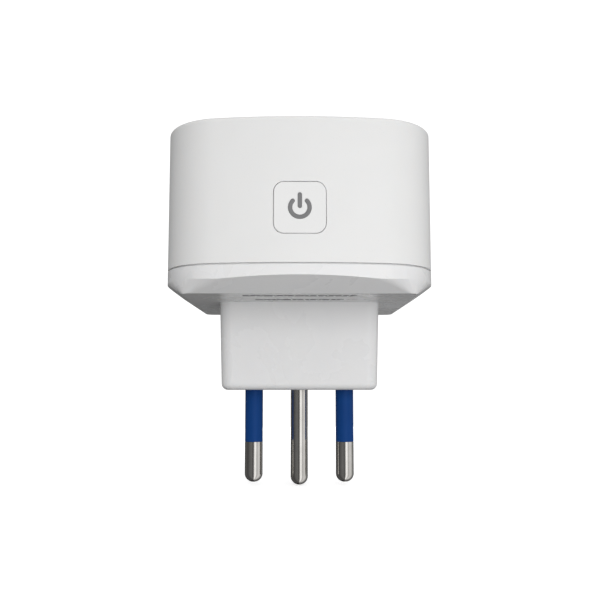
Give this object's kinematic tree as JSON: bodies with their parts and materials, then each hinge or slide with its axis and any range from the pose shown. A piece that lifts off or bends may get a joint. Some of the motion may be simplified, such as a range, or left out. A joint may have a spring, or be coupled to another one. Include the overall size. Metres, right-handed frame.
{
  "type": "smart plug",
  "caption": "Square plug-in adapter with a push button and radio-switched socket in front, and three round in-line pins behind.",
  "frame": {"origin": "centre of the plug face, where the earth pin leaves the plug block", "axes": "+Z from the plug face towards the socket, so the pins point along -Z; the push button faces -Y; the line pin is at -X and the neutral pin at +X"},
  "size_m": [0.0732, 0.0732, 0.0957],
  "materials": {
    "housing_white": "satin, very fine moulded texture",
    "cover_white": "semi-gloss moulded",
    "button_white": "satin moulded",
    "socket_white": "satin moulded",
    "shutter_white": "satin moulded",
    "carrier_white": "matt moulded",
    "symbol_grey": "satin light guide",
    "pin_nickel": "polished nickel plating",
    "sleeve_blue": "satin moulded",
    "contact_brass": "stamped",
    "spring_steel": "plain",
    "board_green": "solder mask",
    "relay_blue": "moulded",
    "winding_copper": "enamelled wire",
    "ferrite": "sintered",
    "capacitor_sleeve": "shrunk sleeve",
    "varistor_blue": "dipped",
    "fuse_glass": "clear",
    "black_plastic": "moulded",
    "led_clear": "clear lens",
    "print_grey": "printed"
  },
  "bodies": {
    "housing": {"front_housing": "housing_white", "rear_cover": "cover_white", "plug_block": "cover_white", "line_pin": "pin_nickel", "neutral_pin": "pin_nickel", "earth_pin": "pin_nickel", "line_pin_sleeve": "sleeve_blue", "neutral_pin_sleeve": "sleeve_blue", "switch_body": "black_plastic", "button_board": "board_green", "status_led": "led_clear", "socket_cup": "socket_white", "socket_face": "socket_white", "shutter_spring": "spring_steel", "contact_carrier": "carrier_white", "line_contact": "contact_brass", "neutral_contact": "contact_brass", "earth_contact": "contact_brass", "earth_clips": "contact_brass", "main_board": "board_green", "board_screws": "spring_steel", "cup_screws": "spring_steel", "relay_base": "relay_blue", "relay_cover": "relay_blue", "relay_yoke": "spring_steel", "relay_coil": "winding_copper", "transformer_core": "ferrite", "transformer_winding": "winding_copper", "capacitors": "capacitor_sleeve", "varistor": "varistor_blue", "fuse": "fuse_glass", "rectifier": "black_plastic", "wifi_board": "board_green", "wifi_shield": "spring_steel", "line_strap": "contact_brass", "neutral_strap": "contact_brass", "earth_strap": "contact_brass", "rear_marks": "print_grey"},
    "button": {"power_button": "button_white", "power_icon": "symbol_grey"},
    "plunger": {"switch_plunger": "black_plastic"},
    "shutter": {"safety_shutter": "shutter_white"},
    "armature": {"relay_armature": "spring_steel"}
  },
  "joints": [
    {"name": "button_press", "type": "slide", "parent": "housing", "child": "button", "axis": [0, 1, 0], "range_m": [0, 0.0005], "stiffness_N_per_m": 600},
    {"name": "plunger_press", "type": "slide", "parent": "housing", "child": "plunger", "axis": [0, 1, 0], "range_m": [0, 0.0005]},
    {"name": "shutter_slide", "type": "slide", "parent": "housing", "child": "shutter", "axis": [0, -1, 0], "range_m": [0, 0.0063], "stiffness_N_per_m": 50, "deforming": ["shutter_spring"]},
    {"name": "armature_pull", "type": "hinge", "parent": "housing", "child": "armature", "pos_m": [0.0172, 0.01575, 0.0416], "axis": [0, -1, 0], "range_deg": [0, 3.3], "stiffness_Nm_per_rad": 0.01}
  ],
  "couplings": [
    {"joint": "plunger_press", "follows": "button_press", "ratio": 1}
  ]
}
